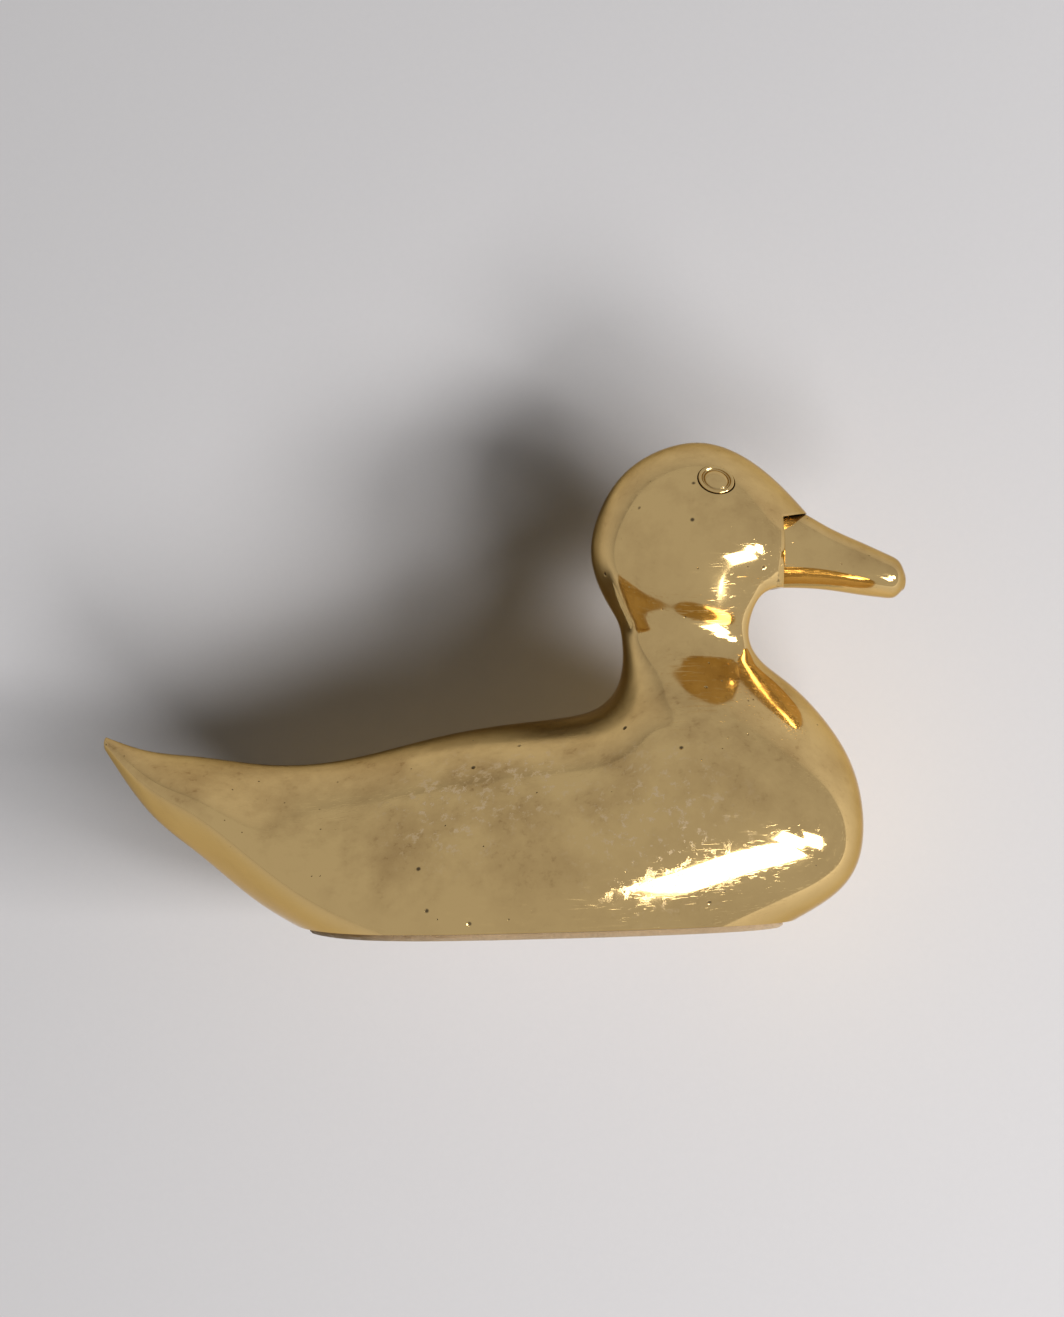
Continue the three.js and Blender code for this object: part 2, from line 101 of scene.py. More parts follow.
# Bill sections with the half width as a share; the forehead's edge trims the first two.
BILL_ROWS = (
    (84.7, 86.9, 84.7, 69.35, 0.95),
    (87.5, 84.9, 87.3, 69.2, 0.96),
    (90.8, 81.6, 90.7, 68.6, 0.98),
    (94.5, 78.6, 94.1, 67.6, 1.0),
    (97.6, 76.1, 96.9, 66.9, 0.97),
    (99.2, 74.5, 98.5, 66.8, 0.82),
    (99.9, 72.1, 99.5, 68.1, 0.45),
)
TAIL_END = (0.0, 40.3)
BILL_END = (100.0, 70.0)
RIM = 84.5
BROW = ((84.5, 83.7), (88.0, 84.7))
BROW_GAP = 0.04 * MM
TENON_LEVEL = 77.6
ROOF_ROUNDING = 0.2
EYE_SECTION = 21.86
EYE_TURN = 0.86
FACE_SECTION = 22.8
BEVEL_SLOPE = 0.45


def across(percent):
    return LOW[0] + (HIGH[0] - LOW[0]) * percent / 100


def up(percent):
    return (HIGH[2] - LOW[2]) * percent / 100


class NaturalSpline:
    """Smooth curve through rows of numbers, with no bend at its two ends."""

    def __init__(self, rows):
        self.rows = np.array(rows, float)
        count = len(rows)
        bends = np.diag(np.full(count - 2, 4.0))
        bends += np.diag(np.ones(count - 3), 1) + np.diag(np.ones(count - 3), -1)
        turns = self.rows[2:] - 2 * self.rows[1:-1] + self.rows[:-2]
        self.bend = np.zeros_like(self.rows)
        self.bend[1:-1] = np.linalg.solve(bends, 6 * turns)

    def at(self, places):
        places = np.asarray(places, float)
        index = np.clip(np.floor(places).astype(int), 0, len(self.rows) - 2)
        t = (places - index)[..., None]
        s = 1 - t
        straight = s * self.rows[index] + t * self.rows[index + 1]
        curved = (s ** 3 - s) * self.bend[index] + (t ** 3 - t) * self.bend[index + 1]
        return straight + curved / 6


class DuckSizes(bpy.types.PropertyGroup):
    """Sizes of the castings that a user would change"""

    body_width: FloatProperty(
        name="Body width", description="Width across the widest part of the body",
        default=45.6 * MM, min=20 * MM, max=60 * MM, unit="LENGTH")
    neck_width: FloatProperty(
        name="Neck width", description="Width across the narrowest part of the neck",
        default=15.4 * MM, min=8 * MM, max=30 * MM, unit="LENGTH")
    head_width: FloatProperty(
        name="Head width", description="Width across the cheeks",
        default=24.4 * MM, min=12 * MM, max=40 * MM, unit="LENGTH")
    bill_width: FloatProperty(
        name="Bill width", description="Width across the broadest part of the bill",
        default=10.6 * MM, min=4 * MM, max=16 * MM, unit="LENGTH")
    foot_level: FloatProperty(
        name="Foot level", description="Height at which the castings are cut off level",
        default=0.9 * MM, min=0, max=4 * MM, unit="LENGTH")
    foot_round: FloatProperty(
        name="Foot rounding", description="Rounding of the edge round the foot",
        default=0.45 * MM, min=0.05 * MM, max=1 * MM, unit="LENGTH")
    seam_gap: FloatProperty(
        name="Seam gap", description="Gap along the brazed seam between the halves",
        default=0.06 * MM, min=0.01 * MM, max=0.2 * MM, unit="LENGTH")
    eye_length: FloatProperty(
        name="Eye length", description="Long way across an eye stud",
        default=4.75 * MM, min=2 * MM, max=7 * MM, unit="LENGTH")
    eye_height: FloatProperty(
        name="Eye height", description="Short way across an eye stud",
        default=4.15 * MM, min=2 * MM, max=7 * MM, unit="LENGTH")
    eye_tilt: FloatProperty(
        name="Eye tilt", description="Turn of the eye's long way, forwards and down",
        default=1.1, min=-1.6, max=1.6, subtype="ANGLE")


class DuckLook(bpy.types.PropertyGroup):
    """Colours and finish that a user would change"""

    brass: FloatVectorProperty(
        name="Brass", description="Colour of the polished metal",
        default=(0.78, 0.555, 0.24), min=0, max=1, size=3, subtype="COLOR")
    edge: FloatVectorProperty(
        name="Edge tint", description="Colour of the metal where it turns away",
        default=(0.76, 0.64, 0.43), min=0, max=1, size=3, subtype="COLOR")
    scuff: FloatVectorProperty(
        name="Scuff", description="Colour of the scuffed, dulled patches",
        default=(0.8, 0.6, 0.34), min=0, max=1, size=3, subtype="COLOR")
    # This colour goes into the pits as real grime and into recesses as painted shade.
    dirt_and_crevice_shade: FloatVectorProperty(
        name="Dirt", description="Colour of the dirt in pits and crevices",
        default=(0.07, 0.05, 0.03), min=0, max=1, size=3, subtype="COLOR")
    # This colour is laid heavier on upward faces, as painted shade.
    tarnish_and_top_shade: FloatVectorProperty(
        name="Tarnish", description="Colour of the dulled film on the metal",
        default=(0.45, 0.285, 0.115), min=0, max=1, size=3, subtype="COLOR")
    polish: FloatProperty(
        name="Polish roughness", description="Roughness of the cleanest metal",
        default=0.06, min=0.0, max=1.0, subtype="FACTOR")
    felt: FloatVectorProperty(
        name="Felt", description="Colour of the pad under the foot",
        default=(0.47, 0.35, 0.22), min=0, max=1, size=3, subtype="COLOR")
    sheet: FloatVectorProperty(
        name="Backdrop", description="Colour of the plain sheet behind the duck",
        default=(0.78, 0.77, 0.79), min=0, max=1, size=3, subtype="COLOR")
    surround: FloatVectorProperty(
        name="Surround", description="Pale colour round the duck, past the sheet",
        default=(0.5, 0.495, 0.505), min=0, max=1, size=3, subtype="COLOR")
    fill: FloatVectorProperty(
        name="Fill light", description="Dim light from all round",
        default=(0.05, 0.053, 0.054), min=0, max=1, size=3, subtype="COLOR")
    lamp_power: FloatProperty(
        name="Lamp power", description="Power that the soft lamps share out",
        default=6.0, min=0, max=100, unit="POWER")
    camera_distance: FloatProperty(
        name="Camera distance", description="From the camera to the duck's middle plane",
        default=0.4, min=0.1, max=2, unit="LENGTH")


def figure_spline(sizes):
    rows = []
    for group, width in ((BODY_ROWS, sizes.body_width), (NECK_ROWS, sizes.neck_width),
                         (HEAD_ROWS, sizes.head_width)):
        for bx, bz, kx, kz, share, drop, roofed, blunt in group:
            rows.append((across(bx), up(bz), across(kx), up(kz), share * width / 2, drop, roofed, blunt))
    return NaturalSpline(rows)


def skin(spline, places, turns):
    """Points of the right side, from the back at turn 0 to the keel at turn pi."""
    places, turns = np.broadcast_arrays(np.asarray(places, float), np.asarray(turns, float))
    bx, bz, kx, kz, half, drop, roofed, blunt = np.moveaxis(spline.at(places), -1, 0)
    level = np.cos(turns)
    round_side = np.maximum(np.sin(turns), 0) ** (1 - blunt * (1 - level) / 2)
    soft = math.hypot(1, ROOF_ROUNDING) - ROOF_ROUNDING
    roof = 1 - (np.hypot(level, ROOF_ROUNDING) - ROOF_ROUNDING) / soft
    out = half * ((1 - roofed) * round_side + roofed * roof)
    level = level - drop * (1 - level ** 2)
    x = (bx + kx) / 2 + (bx - kx) / 2 * level
    z = (bz + kz) / 2 + (bz - kz) / 2 * level
    return np.stack([x, -out, z], -1)


def slopes(spline, place, turn):
    step = 1e-4
    along = (skin(spline, place + step, turn) - skin(spline, place - step, turn)) / (2 * step)
    around = (skin(spline, place, turn + step) - skin(spline, place, turn - step)) / (2 * step)
    return along, around


def unit(vector):
    return vector / np.linalg.norm(vector, axis=-1, keepdims=True)


def brow_level(x):
    (x0, z0), (x1, z1) = ((across(a), up(b)) for a, b in BROW)
    return z0 + (x - x0) * (z1 - z0) / (x1 - x0)


def face_end(spline, turns):
    """Section at which the bill's space cuts each line of the skin."""
    low = np.full(turns.shape, FACE_SECTION)
    high = np.full(turns.shape, len(spline.rows) - 1.0)
    for _ in range(40):
        middle = (low + high) / 2
        point = skin(spline, middle, turns)
        cut = (point[..., 0] > across(RIM)) & (point[..., 2] < brow_level(point[..., 0]))
        high = np.where(cut, middle, high)
        low = np.where(cut, low, middle)
    return low


def brow_turn(spline):
    """Turn of the corner between the forehead's edge and the cheek's rim."""
    low, high = 0.2, 2.0
    for _ in range(40):
        middle = (low + high) / 2
        point = skin(spline, face_end(spline, np.array([middle])), np.array([middle]))[0]
        if point[0] > across(RIM) + 1e-6:
            low = middle
        else:
            high = middle
    return high


def foot_turn(spline, places, level):
    """Turn at which each section meets the foot's level, or pi where its keel stays above it."""
    low = np.zeros(places.shape)
    high = np.full(places.shape, math.pi)
    for _ in range(44):
        middle = (low + high) / 2
        above = skin(spline, places, middle)[..., 2] > level
        low = np.where(above, middle, low)
        high = np.where(above, high, middle)
    keel = spline.at(places)[..., 3]
    return np.where(keel < level, low, math.pi)


def foot_places(spline, level):
    """First and last section that the foot's level cuts."""
    fine = np.linspace(2, 14, 6001)
    cut = fine[spline.at(fine)[:, 3] < level]
    return cut[0], cut[-1]


def eye_frame(spline, sizes):
    """Middle of an eye and its long, short and outward directions on the right side."""
    middle = skin(spline, EYE_SECTION, EYE_TURN)
    along, around = slopes(spline, EYE_SECTION, EYE_TURN)
    outward = unit(np.cross(around, along))
    if outward[1] > 0:
        outward = -outward
    slope = np.array([math.cos(sizes.eye_tilt), 0, -math.sin(sizes.eye_tilt)])
    long_way = unit(slope - outward * slope.dot(outward))
    return middle, long_way, np.cross(outward, long_way), outward


def new_piece(name, vertices, faces, material, sharp=0.7):
    mesh = bpy.data.meshes.new(name)
    mesh.from_pydata([tuple(v) for v in vertices], [], faces)
    work = bmesh.new()
    work.from_mesh(mesh)
    bmesh.ops.remove_doubles(work, verts=work.verts, dist=2e-6)
    bmesh.ops.dissolve_degenerate(work, edges=work.edges, dist=1e-7)
    bmesh.ops.recalc_face_normals(work, faces=work.faces)
    finish_edges(work, sharp)
    work.to_mesh(mesh)
    work.free()
    mesh.materials.append(material)
    piece = bpy.data.objects.new(name, mesh)
    bpy.context.scene.collection.objects.link(piece)
    return piece


def finish_edges(work, sharp):
    for face in work.faces:
        face.smooth = True
    for edge in work.edges:
        edge.smooth = len(edge.link_faces) == 2 and edge.calc_face_angle(0) < sharp


def grid_faces(first, rows, columns, skip=()):
    faces = []
    for i in range(rows - 1):
        for j in range(columns - 1):
            if (i, j) not in skip:
                a = first + i * columns + j
                faces.append((a, a + 1, a + columns + 1, a + columns))
    return faces


def casting_places(spline, level):
    start, end = foot_places(spline, level)
    parts = [
        np.linspace(0, start, 44, endpoint=False),
        start + (end - start) * (1 - np.cos(np.linspace(0, math.pi, 89)[:-1])) / 2,
        end + (FACE_SECTION - end) * np.linspace(0, 1, 120),
    ]
    return np.concatenate(parts)


def casting_grid(spline, sizes):
    """Grid of points over the right casting's outside, with rounded rims at the face and the foot."""
    places = casting_places(spline, sizes.foot_level)
    shares = 1 - (1 - np.linspace(0, 1, 101)) ** 1.5
    corner = brow_turn(spline) / math.pi
    shares[np.argmin(np.abs(shares - corner))] = corner
    ends = foot_turn(spline, places, sizes.foot_level)
    turns = ends[:, None] * shares[None, :]
    body = skin(spline, places[:, None], turns)

    face_turns = math.pi * shares
    last = face_end(spline, face_turns)
    edge = skin(spline, last, face_turns)
    along = slopes(spline, last, face_turns)[0]
    bevel = bevel_width(edge, corner * math.pi, face_turns)
    inner = last - bevel / np.linalg.norm(along, axis=-1)
    steps = np.linspace(0, 1, 29)[1:, None]
    front = skin(spline, FACE_SECTION + (inner - FACE_SECTION) * steps, face_turns[None, :])
    grid = np.concatenate([tail_cap(body[0]), body, front, rim_bevel(front[-1], edge, bevel)])
    return grid, places, shares


def bevel_width(edge, corner, turns):
    """Small on the forehead's edge, and wider down the cheek."""
    level = (up(81) - edge[:, 2]) / (up(81) - up(71))
    cheek = 0.45 + 0.95 * np.clip(level, 0, 1) ** 1.5
    size = np.where(turns < corner, 0.4, cheek) * MM
    return np.minimum(size, 0.45 * np.abs(edge[:, 1]) + 1e-6)


def rim_bevel(inner, edge, width):
    """Rows of a shallow flat bevel and a small rounding into the opening for the bill."""
    inward = np.stack([0 * width, width, 0 * width], -1)
    lip = edge + BEVEL_SLOPE * inward
    end = lip + 0.2 * inward
    flat = [inner + (lip - inner) * share for share in (0.2, 0.55, 0.85)]
    rounded = []
    for bend in (0.35, 0.7, 1.0):
        rounded.append((1 - bend) ** 2 * flat[-1] + 2 * bend * (1 - bend) * lip + bend ** 2 * end)
    return np.array(flat + rounded)


def tail_cap(first):
    end = np.array([across(TAIL_END[0]), 0, up(TAIL_END[1])])
    rings = []
    for share in (0.0, 0.45, 0.8):
        ring = end + (first - end) * share
        ring[:, 0] = end[0] + (first[:, 0] - end[0]) * (1 - math.sqrt(1 - share * share))
        rings.append(ring)
    return np.array(rings)


def foot_rounding(grid, spline, sizes, places, offset):
    """Rows that roll the foot's edge under; they close to a point where there is no foot."""
    start, end = foot_places(spline, sizes.foot_level)
    edge = grid[:, -1].copy()
    before = grid[:, -2]
    inward = np.zeros_like(edge)
    middle = (skin(spline, start, math.pi)[0] + skin(spline, end, math.pi)[0]) / 2
    inward[:, 0] = middle - edge[:, 0]
    inward[:, 1] = -edge[:, 1]
    inward = unit(inward)
    is_foot = np.zeros(len(grid), bool)
    is_foot[offset:offset + len(places)] = (places >= start - 1e-9) & (places <= end + 1e-9)
    size = np.where(is_foot, sizes.foot_round, 0.0)[:, None]
    room = 0.9 * np.linalg.norm(before - edge, axis=-1)[:, None]
    back_off = edge + unit(before - edge + 1e-12) * np.minimum(size, room)
    cap = edge + inward * size
    rows = []
    for bend in np.linspace(0, 1, 5):
        rows.append((1 - bend) ** 2 * back_off + 2 * bend * (1 - bend) * edge + bend ** 2 * cap)
    return np.concatenate([grid[:, :-1], np.stack(rows, 1)], 1)


def eye_block(places, offset, shares):
    """Rows and columns of the grid round the eye that its seat replaces."""
    rows = np.where(np.abs(places - EYE_SECTION) < 0.8)[0] + offset
    columns = np.where(np.abs(shares * math.pi - EYE_TURN) < 0.36)[0]
    return rows[0], rows[-1], columns[0], columns[-1]


def eye_seat(block, spline, sizes, places, shares, offset):
    """Rings of points from the block's edge to the seat's rim, and down into the seat."""
    r0, r1, c0, c1 = block
    loop = [(r0, c) for c in range(c0, c1)] + [(r, c1) for r in range(r0, r1)]
    loop += [(r1, c) for c in range(c1, c0, -1)] + [(r, c0) for r in range(r1, r0, -1)]
    middle, long_way, short_way, outward = eye_frame(spline, sizes)
    at = np.array([(places[r - offset], shares[c] * math.pi) for r, c in loop])
    offsets = skin(spline, at[:, 0], at[:, 1]) - middle
    angle = np.arctan2(offsets @ short_way, offsets @ long_way)
    clearance = 0.14 * MM
    goal_long = (sizes.eye_length / 2 + clearance) * np.cos(angle)
    goal_short = (sizes.eye_height / 2 + clearance) * np.sin(angle)
    rim = np.tile([EYE_SECTION, EYE_TURN], (len(loop), 1))
    for _ in range(12):
        point = skin(spline, rim[:, 0], rim[:, 1]) - middle
        along, around = slopes(spline, rim[:, 0], rim[:, 1])
        miss = np.stack([goal_long - point @ long_way, goal_short - point @ short_way], -1)
        turn = np.stack([np.stack([along @ long_way, around @ long_way], -1),
                         np.stack([along @ short_way, around @ short_way], -1)], 1)
        rim += np.linalg.solve(turn, miss[..., None])[..., 0]
    rings = []
    for share in (0.2, 0.4, 0.6, 0.78, 0.9, 1.0):
        between = at + (rim - at) * share
        rings.append(skin(spline, between[:, 0], between[:, 1]))
    edge = rings[-1]
    towards = unit(middle - edge)
    rings.append(edge + towards * 0.04 * MM - outward * 0.05 * MM)
    rings.append(edge + towards * 0.05 * MM - outward * 0.9 * MM)
    return loop, rings, middle - outward * 0.95 * MM


def casting_mesh(spline, sizes):
    """Vertices and faces of the closed right casting, flat along the seam."""
    grid, places, shares = casting_grid(spline, sizes)
    offset = 3
    grid = foot_rounding(grid, spline, sizes, places, offset)
    grid[..., 1] = np.minimum(grid[..., 1], -sizes.seam_gap / 2)
    rows, columns = grid.shape[:2]
    flat = grid.copy()
    flat[..., 1] = -sizes.seam_gap / 2
    vertices = list(grid.reshape(-1, 3)) + list(flat.reshape(-1, 3))
    second = rows * columns
    block = eye_block(places, offset, shares)
    r0, r1, c0, c1 = block
    skip = {(i, j) for i in range(r0, r1) for j in range(c0, c1)}
    faces = grid_faces(0, rows, columns, skip)
    faces += [f[::-1] for f in grid_faces(second, rows, columns)]
    edges = [(i, 0) for i in range(rows)]
    last = columns - 1
    for loop in (edges, [(i, last) for i in range(rows)],
                 [(0, j) for j in range(columns)], [(rows - 1, j) for j in range(columns)]):
        for (a, b), (c, d) in zip(loop, loop[1:]):
            one, two = a * columns + b, c * columns + d
            faces.append((one, two, two + second, one + second))
    loop, rings, floor = eye_seat(block, spline, sizes, places, shares, offset)
    before = [r * columns + c for r, c in loop]
    for ring in rings:
        here = list(range(len(vertices), len(vertices) + len(ring)))
        vertices += list(ring)
        for k in range(len(ring)):
            n = (k + 1) % len(ring)
            faces.append((before[k], before[n], here[n], here[k]))
        before = here
    vertices.append(floor)
    for k in range(len(before)):
        faces.append((before[k], before[(k + 1) % len(before)], len(vertices) - 1))
    return np.array(vertices), faces


def mirrored(vertices, faces):
    return vertices * np.array([1, -1, 1]), [f[::-1] for f in faces]


def bill_mesh(sizes):
    rows = []
    for bx, bz, kx, kz, share in BILL_ROWS:
        rows.append((across(bx), up(bz), across(kx), up(kz), share * sizes.bill_width / 2))
    spline = NaturalSpline(rows)
    places = np.linspace(0, len(rows) - 1, 72)
    around = 64
    turns = 2 * math.pi * np.arange(around) / around
    bx, bz, kx, kz, half = np.moveaxis(spline.at(places), -1, 0)[..., None]
    level = np.cos(turns)[None, :]
    ring = np.stack([(bx + kx) / 2 + (bx - kx) / 2 * level, half * np.sin(turns)[None, :],
                     (bz + kz) / 2 + (bz - kz) / 2 * level], -1)
    under_brow = ring[..., 0] < across(BROW[1][0]) + BROW_GAP
    trimmed = np.minimum(ring[..., 2], brow_level(ring[..., 0]) - BROW_GAP)
    ring[..., 2] = np.where(under_brow, trimmed, ring[..., 2])
    rings = list(ring)
    end = np.array([across(BILL_END[0]), 0, up(BILL_END[1])])
    tip = rings[-1]
    for share in (0.88, 0.66, 0.36):
        cap = end + (tip - end) * share
        cap[:, 0] = end[0] + (tip[:, 0] - end[0]) * (1 - math.sqrt(1 - share * share))
        rings.append(cap)
    root = [tenon_ring(turns, x) for x in (across(RIM) - 4.6 * MM, across(BILL_ROWS[0][0]))]
    rings = root + rings
    vertices = list(np.concatenate(rings)) + [end, rings[0].mean(0)]
    faces = []
    for i in range(len(rings) - 1):
        for j in range(around):
            n = (j + 1) % around
            faces.append((i * around + j, i * around + n, (i + 1) * around + n, (i + 1) * around + j))
    last = (len(rings) - 1) * around
    for j in range(around):
        n = (j + 1) % around
        faces.append((last + j, last + n, len(vertices) - 2))
        faces.append((n, j, len(vertices) - 1))
    return np.array(vertices), faces


TENON_HALF_WIDTH = 2.2 * MM
TENON_HALF_HEIGHT = 2.1 * MM


def tenon_ring(turns, x):
    """Rounded square of the tenon that the two castings hold."""
    cos, sin = np.cos(turns), np.sin(turns)
    reach = (np.abs(cos) ** 8 + np.abs(sin) ** 8) ** (-1 / 8)
    side = TENON_HALF_WIDTH * sin * reach
    level = up(TENON_LEVEL) + TENON_HALF_HEIGHT * cos * reach
    return np.stack([np.full(turns.shape, x), side, level], -1)


EYE_PROFILE = (
    (0.42, -3.1), (0.46, -3.0), (0.46, -0.92), (0.97, -0.9), (1.0, -0.82), (1.0, -0.1), (0.99, 0.02),
    (0.965, 0.1), (0.93, 0.14), (0.89, 0.15), (0.85, 0.13), (0.815, 0.06), (0.79, -0.06), (0.765, -0.14),
    (0.735, -0.17), (0.705, -0.16), (0.68, -0.1), (0.65, -0.01), (0.6, 0.1), (0.52, 0.2), (0.42, 0.28),
    (0.3, 0.34), (0.16, 0.375),
)


def eye_mesh(spline, sizes):
    middle, long_way, short_way, outward = eye_frame(spline, sizes)
    around = 64
    turns = 2 * math.pi * np.arange(around) / around
    rings = []
    for radius, rise in EYE_PROFILE:
        out = np.outer(np.cos(turns) * radius * sizes.eye_length / 2, long_way)
        out += np.outer(np.sin(turns) * radius * sizes.eye_height / 2, short_way)
        rings.append(middle + out + outward * rise * MM)
    vertices = list(np.concatenate(rings))
    vertices += [middle - outward * 3.1 * MM, middle + outward * 0.385 * MM]
    faces = []
    for i in range(len(rings) - 1):
        for j in range(around):
            n = (j + 1) % around
            faces.append((i * around + j, i * around + n, (i + 1) * around + n, (i + 1) * around + j))
    last = (len(rings) - 1) * around
    for j in range(around):
        n = (j + 1) % around
        faces.append((n, j, len(vertices) - 2))
        faces.append((last + j, last + n, len(vertices) - 1))
    return np.array(vertices), faces


def foot_outline(spline, sizes, inset, count=96):
    """Points round the foot on both sides, moved in from the castings' edge."""
    start, end = foot_places(spline, sizes.foot_level)
    places = start + (end - start) * (1 - np.cos(np.linspace(0, math.pi, count))) / 2
    side = skin(spline, places, foot_turn(spline, places, sizes.foot_level))[:, :2]
    side[[0, -1], 1] = 0
    loop = np.concatenate([side, side[-2:0:-1] * np.array([1, -1])])
    middle = np.array([(side[0, 0] + side[-1, 0]) / 2, 0])
    half_length = (side[-1, 0] - side[0, 0]) / 2
    half_width = np.abs(side[:, 1]).max()
    return middle + (loop - middle) * np.array([1 - inset / half_length, 1 - inset / half_width])


FELT_THICKNESS = 0.8 * MM
FELT_INSET = 1.6 * MM


def felt_mesh(spline, sizes):
    """Pad with soft edges and a faint nap, from its rim to its middle."""
    outline = foot_outline(spline, sizes, FELT_INSET)
    middle = (outline.min(0) + outline.max(0)) / 2
    count = len(outline)
    random = np.random.default_rng(7)
    top = FELT_THICKNESS
    levels = [(1 - s, top) for s in (0.9, 0.7, 0.5, 0.3, 0.15, 0.06, 0.02)]
    levels += [(0.995, top - 0.06 * MM), (1.0, top / 2), (0.995, 0.06 * MM)]
    levels += [(1 - s, 0.0) for s in (0.02, 0.06, 0.15, 0.3, 0.5, 0.7, 0.9)]
    rings = []
    for share, level in levels:
        ring = np.empty((count, 3))
        ring[:, :2] = middle + (outline - middle) * share
        ring[:, 2] = level
        if share > 0.99:
            ring[:, :2] += (outline - middle) * random.uniform(-0.003, 0.003, (count, 1))
        elif level == 0.0:
            ring[:, 2] += random.uniform(0, 0.02, count) * MM
        rings.append(ring)
    vertices = list(np.concatenate(rings)) + [np.array([*middle, top]), np.array([*middle, 0.0])]
    faces = []
    for i in range(len(rings) - 1):
        for j in range(count):
            n = (j + 1) % count
            faces.append((i * count + j, i * count + n, (i + 1) * count + n, (i + 1) * count + j))
    last = (len(rings) - 1) * count
    for j in range(count):
        n = (j + 1) % count
        faces.append((n, j, len(vertices) - 2))
        faces.append((last + j, last + n, len(vertices) - 1))
    x, y = outline.T
    area = abs(np.dot(x, np.roll(y, -1)) - np.dot(y, np.roll(x, -1))) / 2
    size = outline.max(0) - outline.min(0)
    return np.array(vertices), faces, (float(size[1]), float(size[0])), float(area)


class Graph:
    """Nodes of a finish or of the surround, made and linked one at a time."""

    def __init__(self, tree):
        self.nodes, self.links = tree.nodes, tree.links

    def plug(self, socket, value):
        if isinstance(value, bpy.types.NodeSocket):
            self.links.new(value, socket)
        else:
            socket.default_value = value

    def node(self, kind, inputs, **settings):
        node = self.nodes.new("ShaderNode" + kind)
        for name, value in settings.items():
            setattr(node, name, value)
        for name, value in inputs.items():
            self.plug(node.inputs[name], value)
        return node

    def maths(self, operation, *values):
        return self.node("Math", dict(enumerate(values)), operation=operation).outputs[0]

    def ramp(self, value, low, high, start=0.0, end=1.0):
        inputs = {"Value": value, "From Min": low, "From Max": high, "To Min": start, "To Max": end}
        return self.node("MapRange", inputs).outputs["Result"]

    def blend(self, share, first, second):
        inputs = {"Factor": share, "A": first, "B": second}
        return self.node("Mix", inputs, data_type="RGBA").outputs["Result"]

    def noise(self, place, scale, detail=4.0, rough=0.55):
        inputs = {"Vector": place, "Scale": scale, "Detail": detail, "Roughness": rough}
        return self.node("TexNoise", inputs).outputs["Fac"]


class Finish(Graph):
    """Material whose detail lies on the piece itself, measured in millimetres."""

    def __init__(self, name):
        self.material = bpy.data.materials.new(name)
        self.material.use_nodes = True
        super().__init__(self.material.node_tree)
        self.shader = self.nodes["Principled BSDF"]
        place = self.node("TexCoord", {}).outputs["Object"]
        self.place = self.node("Mapping", {"Vector": place, "Scale": (1 / MM, 1 / MM, 1 / MM)}).outputs[0]

    def set(self, **values):
        for name, value in values.items():
            self.plug(self.shader.inputs[name.replace("_", " ")], value)

    def bump(self, height, depth):
        inputs = {"Height": height, "Distance": depth}
        self.set(Normal=self.node("Bump", inputs).outputs["Normal"])

    def grain(self, scale, detail=4.0, rough=0.55):
        return self.noise(self.place, scale, detail, rough)

    def near(self, spot, reach):
        """One at a spot, fading to nothing at its reach."""
        inputs = {0: self.place, 1: spot}
        distance = self.node("VectorMath", inputs, operation="DISTANCE").outputs["Value"]
        return self.ramp(distance, reach, 0.35 * reach)

    def specks(self, scale, size):
        """Small round spots, as many in a millimetre as the scale says."""
        cells = self.node("TexVoronoi", {"Vector": self.place, "Scale": scale}).outputs["Distance"]
        return self.ramp(cells, size * scale, 0.5 * size * scale)

    def hairlines(self, turn, stretch, width):
        """Long fine lines, broken up along their length."""
        inputs = {"Vector": self.place, "Rotation": turn, "Scale": stretch}
        along = self.node("Mapping", inputs).outputs[0]
        off = self.maths("ABSOLUTE", self.maths("SUBTRACT", self.noise(along, 1.0, 2.0), 0.5))
        broken = self.ramp(self.noise(along, 2.3, 1.0), 0.56, 0.66)
        return self.maths("MULTIPLY", self.ramp(off, width, 0.3 * width), broken)


# Scuffed places on the back and the breast, with their reach, in millimetres.
SCUFFS = (((1.7, -15, 19.2), 9), ((-7, -15, 16.5), 11), ((18, -22, 13), 13), ((1.7, 15, 19.2), 8))
# Turns and stretches of the sets of hairlines, in radians and lines in a millimetre.
HAIRLINE_SETS = (
    ((0, 0.25, 0), (0.05, 0.9, 0.9)),
    ((0, -0.5, 0.3), (0.09, 1.2, 1.2)),
    ((0.4, 1.1, 0), (0.11, 1.3, 1.3)),
)
HAIRLINE_WIDTH = 0.016
BRASS_RELIEF = 0.06 * MM


